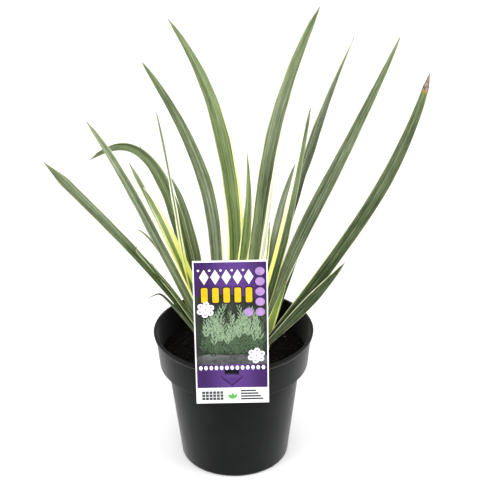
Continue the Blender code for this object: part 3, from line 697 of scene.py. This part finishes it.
def blade(leaf, seed):
    """One sword leaf's points with their skin, and its faces."""
    draw = random.Random(seed)
    controls = np.array([(*leaf.root, LEAF_ROOT_HEIGHT), *leaf.via, leaf.tip], dtype=float) * MM
    pulls = np.diff(controls, axis=0)
    steps = round(np.linalg.norm(pulls, axis=1).sum() / LEAF_STEP)
    t = 1 - (1 - np.linspace(0, 1, steps + 1)[:, None]) ** LEAF_STEP_POWER
    place, direction = curve(controls, t), unit(curve(pulls, t))
    # The leaf goes on below its root, down into the sheathed base
    sink = np.array([[1], [0.5]]) * LEAF_ROOT_SINK
    place = np.concatenate([place[0] - direction[0] * sink, place])
    direction = np.concatenate([direction[:1], direction[:1], direction])
    t = np.concatenate([[[0], [0]], t])
    face = radians(leaf.face)
    across = unit(np.cross(direction, (sin(face), -cos(face), 0)))
    out = np.cross(across, direction)
    along = np.cumsum(np.linalg.norm(np.diff(place, axis=0, prepend=place[:1]), axis=1))[:, None]
    to_tip = along[-1] - along
    width = leaf_width(leaf, t, to_tip)
    half = width / 2

    # Slight sway of the whole blade, and waves in each margin
    fade = width * smoothstep(0, 0.12, t) * (1 - smoothstep(0.75, 1, t))
    sway, *waves = (np.sin(along / (size * MM) + draw.uniform(0, tau)) * fade for size in LEAF_WAVES)
    front = np.linspace(-1, 1, LEAF_POINTS_ACROSS)
    u = np.concatenate([front, front[::-1]])
    side = np.repeat([1, -1], LEAF_POINTS_ACROSS)
    thick = LEAF_EDGE / 2 + LEAF_RIB_PER_WIDTH * half * (1 - np.abs(u)) ** 1.5
    dish = LEAF_FOLD_PER_WIDTH * width * (1 - np.abs(u) ** 1.3)
    wave = np.maximum(0, -u) ** 2 * (waves[0] + waves[1]) + np.maximum(0, u) ** 2 * (waves[2] + waves[3])
    shift = (u * half + LEAF_SWAY_PER_WIDTH * sway)[..., None]
    offset = (side * thick - dish + LEAF_WAVE_PER_WIDTH * wave)[..., None]
    points = place[:, None] + across[:, None] * shift + out[:, None] * offset

    look = leaf.look
    # light is the leaf's own tone with painted shade where it stands in shade and painted light where it is
    # lifted
    left, right, yellow, fresh, light = (along_leaf(value, t) for value in look[:5])
    dry = 1 - smoothstep(0.6 * look.dry, 1.2 * look.dry, to_tip / MM)
    aside = u * half / MM
    streaks = [(aside - middle) / half_width for middle, half_width in (look.pale, look.dark)]
    # How wide the nearer margin is decides how pale it is
    paleness = smoothstep(0.2, 0.9, np.where(u < 0, left, right))
    return with_skin(
        points,
        (aside, along / MM, seed * 7.3),
        (half / MM + aside - left, half / MM - aside - right, yellow),
        (fresh, dry, light),
        (*streaks, paleness),
    )


def sheath(fan, seed, grow, high, lean, look):
    """A closed, ribbed oval wrap round a fan's base, whose rim is higher on one side."""
    angles = np.linspace(0, tau, SHEATH_STEPS, endpoint=False)
    fall = np.array([1, 0.8, 0.6, 0.4, 0.25, 0.12, 0.05, 0, 0])
    share = np.array([[0.97, 0.99, 1, 1, 1, 0.92, 0.8, 0.55, 0.12]]).T * grow
    folds = 0.045 * np.abs(np.sin(1.5 * angles + seed)) + 0.012 * np.sin(17 * angles)
    rim = high + lean * np.cos(angles - seed * 1.7)
    height = rim - np.outer(fall, rim - SHEATH_LOW)
    radius = share * (0.95 + folds) * MM
    x = fan.centre[0] * MM + fan.half[0] * radius * np.cos(angles)
    y = fan.centre[1] * MM + fan.half[1] * radius * np.sin(angles)
    return with_skin(
        np.stack([x, y, height], axis=-1),
        (angles / 2 * sum(fan.half), height / MM, seed * 3.1),
        (look.left, look.right, look.yellow),
        (look.fresh, look.dry, look.light),
        (NO_STREAK[0], NO_STREAK[0], 1),
    )


def build_fans():
    material = leaf_material()
    seed = 0
    for name, fan in FANS.items():
        parts = [
            sheath(fan, seed + 0.4, 1, SHEATH_TOP - 1.5 * MM, 1.5 * MM, PALE_SHEATH),
            sheath(fan, seed + 2.1, 1.04, SHEATH_TOP - 6 * MM, 2.5 * MM, PAPERY_SHEATH),
        ]
        for leaf in fan.leaves:
            seed += 1
            parts.append(blade(leaf, seed))
        faces, count = [], 0
        for arrays, part_faces in parts:
            faces.extend(tuple(count + i for i in face) for face in part_faces)
            count += len(arrays[0])
        points, *skin = (np.concatenate(group) for group in zip(*(arrays for arrays, _ in parts)))
        attributes = dict(zip(SKIN, skin))
        piece = mesh_piece(name.replace("leaf_", "sword_"), points, faces, material, attributes=attributes)
        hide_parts(name)


def round_corners(corners, arc_points=5):
    """An outline of (x, y, radius) corners as points, with an arc at each radius."""
    points = []
    for index, (x, y, radius) in enumerate(corners):
        if radius == 0:
            points.append((x, y))
            continue
        corner = Vector((x, y))
        before = (Vector(corners[index - 1][:2]) - corner).normalized()
        after = (Vector(corners[(index + 1) % len(corners)][:2]) - corner).normalized()
        half = before.angle(after) / 2
        centre = corner + (before + after).normalized() * (radius / sin(half))
        start = corner + before * (radius / tan(half)) - centre
        end = corner + after * (radius / tan(half)) - centre
        first = atan2(start.y, start.x)
        turn = (atan2(end.y, end.x) - first + pi) % tau - pi
        for step in range(arc_points):
            u, v = polar(radius, first + turn * step / (arc_points - 1))
            points.append((centre.x + u, centre.y + v))
    return points


def body_radius(height):
    """Radius of the pot body's outside at a height."""
    return BASE_RADIUS + (BODY_TOP_RADIUS - BASE_RADIUS) * height / COLLAR_LOW_HEIGHT


def collar_radius(height):
    """Radius of the collar's outside at a height."""
    share = (POT_HEIGHT - height) / COLLAR_HEIGHT
    return COLLAR_TOP_RADIUS + (COLLAR_LOW_RADIUS - COLLAR_TOP_RADIUS) * share


def pot_profile():
    """From the middle of the floor, up the inside, over the lip and down the outside."""
    ring_top = RING_HEIGHT + WALL
    slope = RING_HEIGHT / 2
    step = COLLAR_LOW_HEIGHT
    lip_low = POT_HEIGHT - LIP_HEIGHT
    corners = [
        (0, WALL, 0),
        (RING_INNER - RING_COVER, WALL, 0),
        (RING_INNER + slope - RING_COVER, ring_top, 0),
        (RING_OUTER - slope + RING_COVER, ring_top, 0),
        (RING_OUTER + RING_COVER, WALL, 0),
        (body_radius(WALL) - WALL, WALL, INNER_BASE_ROUND),
        (body_radius(step) - WALL, step + WALL, 0),
        (collar_radius(step) - WALL, step + WALL, 0),
        (COLLAR_TOP_RADIUS - WALL, POT_HEIGHT, LIP_ROUND),
        (LIP_RADIUS, POT_HEIGHT, LIP_ROUND),
        (LIP_LOW_RADIUS, lip_low, LIP_ROUND),
        (collar_radius(lip_low - LIP_UNDERCUT), lip_low - LIP_UNDERCUT, LIP_ROUND),
        (COLLAR_LOW_RADIUS, step, STEP_ROUND),
        (BODY_TOP_RADIUS, step, 0),
        (BASE_RADIUS, 0, BASE_ROUND),
        (RING_OUTER, 0, 0),
        (RING_OUTER - slope, RING_HEIGHT, 0),
        (RING_INNER + slope, RING_HEIGHT, 0),
        (RING_INNER, 0, 0),
        (0, 0, 0),
    ]
    return round_corners(corners)


def add_cutter(cutters, build, place, scale=(1, 1, 1), **sizes):
    """Put an object to cut with, made by one bmesh call, into the group of cutters."""
    mesh = bpy.data.meshes.new("cutter")
    bm = bmesh.new()
    build(bm, **sizes)
    bm.to_mesh(mesh)
    bm.free()
    cutters.objects.link(set_up(bpy.data.objects.new("cutter", mesh), location=place, scale=scale))


def build_pot():
    profile = pot_profile()
    mesh = bpy.data.meshes.new("nursery_pot")
    mesh.from_pydata([(r, 0, z) for r, z in profile], [(i, i + 1) for i in range(len(profile) - 1)], [])
    pot = add_object("nursery_pot", mesh)
    screw = pot.modifiers.new("turn", "SCREW")
    set_up(screw, steps=POT_STEPS, render_steps=POT_STEPS, use_merge_vertices=True, merge_threshold=POT_MERGE)
    cutters = bpy.data.collections.new("pot_cutters")
    bpy.context.scene.collection.children.link(cutters)
    depth = 2 * (RING_HEIGHT + WALL + CUTTER_OVERRUN)
    hole = {"cap_ends": True, "segments": HOLE_STEPS, "depth": depth}
    hole.update(dict.fromkeys(("radius1", "radius2"), HOLE_RADIUS))
    for index in range(HOLES):
        place = polar((RING_INNER + RING_OUTER) / 2, tau * (index + 0.5) / HOLES)
        add_cutter(cutters, bmesh.ops.create_cone, (*place, 0), **hole)
    low = POT_HEIGHT - LIP_HEIGHT - LIP_UNDERCUT - CUTTER_OVERRUN
    high = POT_HEIGHT + CUTTER_OVERRUN
    place = (TONGUE_X, -SLOT_BACK - SLOT_DEPTH / 2, (low + high) / 2)
    scale = (2 * SLOT_HALF_WIDTH, SLOT_DEPTH, high - low)
    add_cutter(cutters, bmesh.ops.create_cube, place, scale, size=1)
    holes = pot.modifiers.new("holes", "BOOLEAN")
    set_up(holes, operation="DIFFERENCE", operand_type="COLLECTION", collection=cutters, solver="EXACT")
    mesh = settled_mesh(pot, pot_material())
    pot.modifiers.clear()
    pot.data = mesh
    for cutter in list(cutters.objects):
        bpy.data.objects.remove(cutter)
    bpy.data.collections.remove(cutters)
    mesh.shade_smooth()
    mesh.set_sharp_from_angle(angle=POT_SHARP_ANGLE)
    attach(pot, BODY)
    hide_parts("pot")


def soil_height(x, y):
    """Height of the mix's surface, with the solid's lumps and a finer grain on them."""
    total = sum(sin(a * x / MM + b * y / MM + c) for a, b, c in SOIL_WAVES)
    height = SOIL_TOP + SOIL_LUMP * total / len(SOIL_WAVES)
    for index, (size, rise) in enumerate(SOIL_GRAIN):
        height += rise * noise.noise(Vector((x / size, y / size, 5.3 * index)))
    return height


def build_soil():
    """A closed tube from the pot's floor up its wall, then inward over the surface."""
    gap = WALL + CLEARANCE
    floor = RING_HEIGHT + WALL + CLEARANCE
    corner = floor + SOIL_LOW_CORNER
    step = COLLAR_LOW_HEIGHT
    edge = collar_radius(SOIL_TOP) - gap
    angles = [tau * k / SOIL_STEPS for k in range(SOIL_STEPS)]
    sides = [
        (body_radius(floor) - gap - SOIL_LOW_CORNER, floor),
        (body_radius(corner) - gap, corner),
        (body_radius(step) - gap, step + gap),
        (collar_radius(step) - gap, step + gap),
    ]
    points = [(*polar(radius, angle), height) for radius, height in sides for angle in angles]
    for ring in range(SOIL_RINGS):
        radius = edge * (1 - ring / SOIL_RINGS)
        for angle in angles:
            place = polar(radius, angle)
            points.append((*place, soil_height(*place)))
    # The innermost ring closes to a point
    *faces, inner = tube_faces(len(sides) + SOIL_RINGS, SOIL_STEPS)
    faces += [(a, b, len(points)) for a, b in zip(inner, inner[1:] + inner[:1])]
    points.append((0, 0, soil_height(0, 0)))
    soil = mesh_piece("potting_mix_surface", points, faces, soil_material())
    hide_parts("potting_mix")


def on_open_soil(draw, clear):
    """A random place on the mix, at least "clear" metres from its edge and from every fan."""
    edge = collar_radius(SOIL_TOP) - WALL - CLEARANCE - clear
    while True:
        x, y = polar(edge * sqrt(draw.random()), draw.uniform(0, tau))
        if all(
            ((x - fan.centre[0] * MM) / (fan.half[0] * MM + clear)) ** 2
            + ((y - fan.centre[1] * MM) / (fan.half[1] * MM + clear)) ** 2
            > 1
            for fan in FANS.values()
        ):
            return x, y


def build_crumbs(kind):
    """Balls of radius 1 that are roughened, stretched and pressed a little into the mix."""
    bm = bmesh.new()
    bmesh.ops.create_icosphere(bm, subdivisions=2, radius=1)
    base = np.array([vertex.co for vertex in bm.verts])
    base_faces = [[vertex.index for vertex in face.verts] for face in bm.faces]
    bm.free()
    draw = random.Random(kind.seed)
    points, faces, tones = [], [], []
    for index in range(kind.count):
        half = [draw.uniform(low, high) * MM for low, high in kind.sizes]
        place = on_open_soil(draw, max(half))
        offset = Vector((draw.uniform(0, 99), 0, 0))
        rough = np.array([[1 + kind.roughen * noise.noise(Vector(p * 1.7) + offset)] for p in base])
        turn = Euler((draw.gauss(0, CRUMB_LEAN), draw.gauss(0, CRUMB_LEAN), draw.uniform(0, tau)))
        rise = soil_height(*place) + draw.uniform(0.1, 0.7) * half[2]
        faces.extend(tuple(len(base) * index + i for i in face) for face in base_faces)
        points.append((base * rough * half) @ np.array(turn.to_matrix()).T + (*place, rise))
        tones += [(draw.random(), 0, 0)] * len(base)
    material = crumb_material(kind.material, kind.dark, kind.light, 0.9)
    crumbs = mesh_piece(kind.name, np.concatenate(points), faces, material, attributes={"tone": tones})


def build_fibres():
    """Short curved root and coir threads that lie on the mix."""
    draw = random.Random(31)
    angles = np.linspace(0, tau, THREAD_SIDES, endpoint=False)
    points, faces, tones = [], [], []
    for _ in range(THREADS):
        length = draw.uniform(*THREAD_LENGTHS) * MM
        x, y = on_open_soil(draw, length * 0.6)
        heading = draw.uniform(0, tau)
        bend = draw.uniform(-THREAD_BEND, THREAD_BEND)
        thick = draw.uniform(*THREAD_RADII) * MM
        faces += tube_faces(THREAD_RINGS, THREAD_SIDES, len(points))
        for ring in range(THREAD_RINGS):
            share = ring / (THREAD_RINGS - 1)
            angle = heading + bend * share
            x += cos(angle) * length / THREAD_RINGS
            y += sin(angle) * length / THREAD_RINGS
            z = soil_height(x, y) + thick + THREAD_ARCH * sin(pi * share)
            radius = thick * (1 - 0.6 * abs(2 * share - 1))
            for a in angles:
                side, rise = polar(radius, a)
                points.append((x - sin(angle) * side, y + cos(angle) * side, z + rise))
        tones += [(draw.random(), 0, 0)] * (THREAD_RINGS * THREAD_SIDES)
    material = crumb_material("root_thread", *THREAD_BROWN, 0.85)
    threads = mesh_piece("root_threads", points, faces, material, attributes={"tone": tones})


def card_place(x, height, front):
    """A place on the leaning card, from its middle, its low edge and its front face."""
    z = LABEL_BOTTOM + height - POT_HEIGHT
    return (
        LABEL_X + x * cos(LABEL_TILT) + z * sin(LABEL_TILT),
        LABEL_PLANE - LABEL_THICKNESS / 2 - front,
        POT_HEIGHT + z * cos(LABEL_TILT) - x * sin(LABEL_TILT),
    )


def turned(shape, x, height, turn):
    """An outline turned about (0, 0), and moved to a place on the card."""
    cosine, sine = polar(1, radians(turn))
    return [(x + u * cosine - v * sine, height + u * sine + v * cosine) for u, v in shape]


def oval(x, height, half_width, stretch=1, turn=0, steps=20):
    """Outline of a turned ellipse on the card, "stretch" times as high as it is wide."""
    circle = [polar(half_width, tau * k / steps) for k in range(steps)]
    return turned([(u, v * stretch) for u, v in circle], x, height, turn)


def leaflet(x, height, length, width, turn, steps=7):
    """Outline of a pointed oval leaf that starts at a place and points along "turn"."""
    shares = [k / steps for k in range(steps + 1)]
    lower = [(length * s, -width / 2 * sin(pi * s) ** 0.8) for s in shares]
    upper = [(u, -v) for u, v in reversed(lower[1:-1])]
    return turned(lower + upper, x, height, turn)


def bar(left, low, right, high, radius=0.0):
    """Outline of a rectangle on the card, with round corners."""
    corners = ((left, low), (right, low), (right, high), (left, high))
    return round_corners([(*corner, radius) for corner in corners])


def tiles(half_width, low, high, radius):
    """Outlines of a row of like rectangles."""
    return [bar(x - half_width, low, x + half_width, high, radius) for x in TILE_MIDDLES]


def print_shapes(name, outlines, layer, material):
    """Thin prints on the card, each a hair in front of the one before it."""
    points, faces = [], []
    hair = 0.35 * PRINT_LIFT / len(outlines)
    for index, outline in enumerate(outlines):
        faces += tube_faces(2, len(outline), len(points))
        for front in (PRINT_LIFT * (layer - 0.8), PRINT_LIFT * layer + hair * index):
            points += [card_place(x * MM, height * MM, front) for x, height in outline]
    piece = mesh_piece(name, points, faces, material, smooth=False)


def window_outline():
    """Outline of the opening that the ground's ink leaves round the card's window."""
    middle = (TONGUE_X - LABEL_X) / MM
    gap = WINDOW_GAP / MM + GROUND_GAP
    neck, head = NECK_HALF_WIDTH / MM + gap, HEAD_HALF_WIDTH / MM + gap
    top, shoulder, corner, point = (
        (height - LABEL_BOTTOM) / MM for height in (WINDOW_TOP, HEAD_TOP, HEAD_CORNER, HEAD_POINT)
    )
    half = [(neck, top + GROUND_GAP_ABOVE), (neck, shoulder + gap), (head, shoulder + gap), (head, corner)]
    left = [(middle - x, z) for x, z in half]
    right = [(middle + x, z) for x, z in reversed(half)]
    return [*left, (middle, point - 1.5 * gap), *right]


def print_ground(material):
    """The card's purple ground, cut out round the window."""
    outlines = bpy.data.curves.new("print_ground", "CURVE")
    set_up(outlines, dimensions="2D", fill_mode="BOTH", extrude=0.4 * PRINT_LIFT)
    for outline in (bar(-INK_SIDE, GROUND_LOW, INK_SIDE, INK_TOP), window_outline()):
        spline = outlines.splines.new("POLY")
        spline.points.add(len(outline) - 1)
        for point, (x, height) in zip(spline.points, outline):
            point.co = (x * MM, height * MM, 0, 1)
        spline.use_cyclic_u = True
    guide = add_object("print_guide", outlines)
    mesh = settled_mesh(guide, material)
    bpy.data.objects.remove(guide)
    bm = bmesh.new()
    bm.from_mesh(mesh)
    bmesh.ops.remove_doubles(bm, verts=bm.verts, dist=PRINT_LIFT / 10)
    for vertex in bm.verts:
        vertex.co = card_place(vertex.co.x, vertex.co.y, 0.6 * PRINT_LIFT + vertex.co.z)
    bmesh.ops.recalc_face_normals(bm, faces=bm.faces)
    bm.to_mesh(mesh)
    bm.free()
    piece = add_object("print_ground", mesh)
    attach(piece, BODY)


def spray(draw, share_across, low, lean, reach):
    """Outlines of a leaning twig's leaflets, in pairs that get smaller towards its end."""
    x = -24 + 50 * share_across
    pairs = round(reach / 3.4)
    outlines = []
    for pair in range(pairs):
        share = (pair + 0.5) / pairs
        angle = 90 - lean * (0.4 + 0.8 * share)
        place = turned([(reach * share, 0)], x, low, angle)[0]
        size = 8 - 4 * share
        for side in (-1, 1):
            shape = leaflet(*place, size, 0.17 * size, angle + side * draw.uniform(14, 34))
            if all(abs(u) < INK_SIDE and v < SPRAY_TOP for u, v in shape):
                outlines.append(shape)
    return outlines


def build_label():
    """The card, and a generic print of sprays, berries, tiles and bars, with no lettering."""
    card = bpy.data.objects["plant_label"]
    card.data.materials.clear()
    card.data.materials.append(card_material())
    draw = random.Random(12)
    inks = {name: ink_material(name) for name in INKS}
    print_ground(ground_ink())
    panel = [(-INK_SIDE, PANEL_LOW), (INK_SIDE, PANEL_LOW), *HILL]
    bank = [(-INK_SIDE, BANK_LOW), (INK_SIDE, BANK_LOW), *HUMP]
    print_shapes("print_panel", [panel], 2, inks["shade_ink"])
    print_shapes("print_bank", [bank], 3, inks["bank_ink"])
    for name, layer, count, lows, reaches in SPRAYS:
        outlines = []
        for index in range(count):
            share_across = (index + draw.uniform(0.1, 0.9)) / count
            low, lean, reach = draw.uniform(*lows), draw.uniform(-20, 20), draw.uniform(*reaches)
            outlines += spray(draw, share_across, low, lean, reach)
        print_shapes(name, outlines, layer, inks[name + "_ink"])

    diamonds = [oval(x, DIAMOND_HEIGHT, 3.9, 7 / 3.9, steps=4) for x in TILE_MIDDLES]
    small = [oval(x - TILE_PITCH / 2, DIAMOND_DOT_HEIGHT, 1) for x in TILE_MIDDLES]
    dots = [oval(-26.4 + 4.4 * k, DOT_ROW_HEIGHT, 1.5, 1.4) for k in range(13)]
    discs = [(DISC_X, 127.6 - DISC_PITCH * k) for k in range(4)]
    discs += [(DISC_X - DISC_PITCH * k, 89.2) for k in range(2)]
    berries = []
    for place in BERRY_PLACES:
        berries += [place, *oval(*place, BERRY_RING, 1, BERRY_RING_TURN, 6)]
    marks = [
        bar(x, low, x + MARK_SIZE, low + MARK_SIZE)
        for x in (-26 + MARK_PITCH * column for column in range(6))
        for low in (FOOT_LOW + MARK_PITCH * row for row in range(3))
    ]
    for row in range(4):
        low = FOOT_LOW + LINE_PITCH * row
        marks.append(bar(7, low, 26 - 2 * row, low + LINE_HEIGHT))
    pieces = [
        ("print_white", diamonds + small + dots, 10, "white_ink"),
        ("print_shadows", tiles(*TILE_SHADOW), 10, "shadow_ink"),
        ("print_yellow", tiles(*TILE), 12, "yellow_ink"),
        ("print_lilac", [oval(*p, DISC_RADIUS, steps=28) for p in discs], 10, "lilac_ink"),
        ("print_berries", [oval(*p, BERRY_RADIUS) for p in berries], 12, "white_ink"),
        ("print_berry_hearts", [oval(*p, HEART_RADIUS) for p in berries], 14, "lilac_ink"),
        ("print_grey", marks, 2, "grey_ink"),
        ("print_sprig", [leaflet(0, 4, 6.4, 2.7, turn) for turn in (50, 90, 130)], 2, "green_ink"),
    ]
    for name, outlines, layer, ink in pieces:
        print_shapes(name, outlines, layer, inks[ink])


def build_studio():
    scene = bpy.context.scene
    scene.view_settings.view_transform = "Standard"
    scene.world = bpy.data.worlds.new("studio")
    scene.world.use_nodes = True
    background = scene.world.node_tree.nodes["Background"]
    background.inputs["Color"].default_value = (1, 1, 1, 1)
    background.inputs["Strength"].default_value = WORLD_STRENGTH
    mesh = bpy.data.meshes.new("floor")
    corners = [(x * FLOOR_HALF, y * FLOOR_HALF, 0) for x, y in ((-1, -1), (1, -1), (1, 1), (-1, 1))]
    mesh.from_pydata(corners, [], [(0, 1, 2, 3)])
    shade = Shade("floor_paper", 0.1, Roughness=0.9)
    paper = shade.noise(FLOOR_GRAIN, detail=3)
    mesh.materials.append(shade.finish(shade.mix(paper, *FLOOR_WHITE)))
    floor = add_object("floor", mesh)
    for name, place, width, power in LIGHTS:
        data = bpy.data.lights.new(name, "AREA")
        light = add_object(name, set_up(data, shape="DISK", size=width, energy=power))
        light.location = place
        light.rotation_euler = (LIGHT_AIM - Vector(place)).to_track_quat("-Z", "Y").to_euler()


def build_camera():
    lens = CAMERA_SENSOR_MM * CAMERA_FOCAL_PIXELS / IMAGE_PIXELS
    data = bpy.data.cameras.new("camera")
    set_up(data, sensor_width=CAMERA_SENSOR_MM, lens=lens, clip_end=CAMERA_REACH)
    camera = add_object("camera", data)
    aim = Euler((pi / 2 - CAMERA_DOWN, 0, -CAMERA_TURN)).to_matrix() @ Matrix.Rotation(CAMERA_ROLL, 3, "Z")
    camera.matrix_world = Matrix.Translation(CAMERA_PLACE) @ aim.to_4x4()
    bpy.context.scene.camera = camera


build_camera()
build_studio()
build_pot()
build_soil()
for kind in CRUMBS:
    build_crumbs(kind)
build_fibres()
build_fans()
build_label()
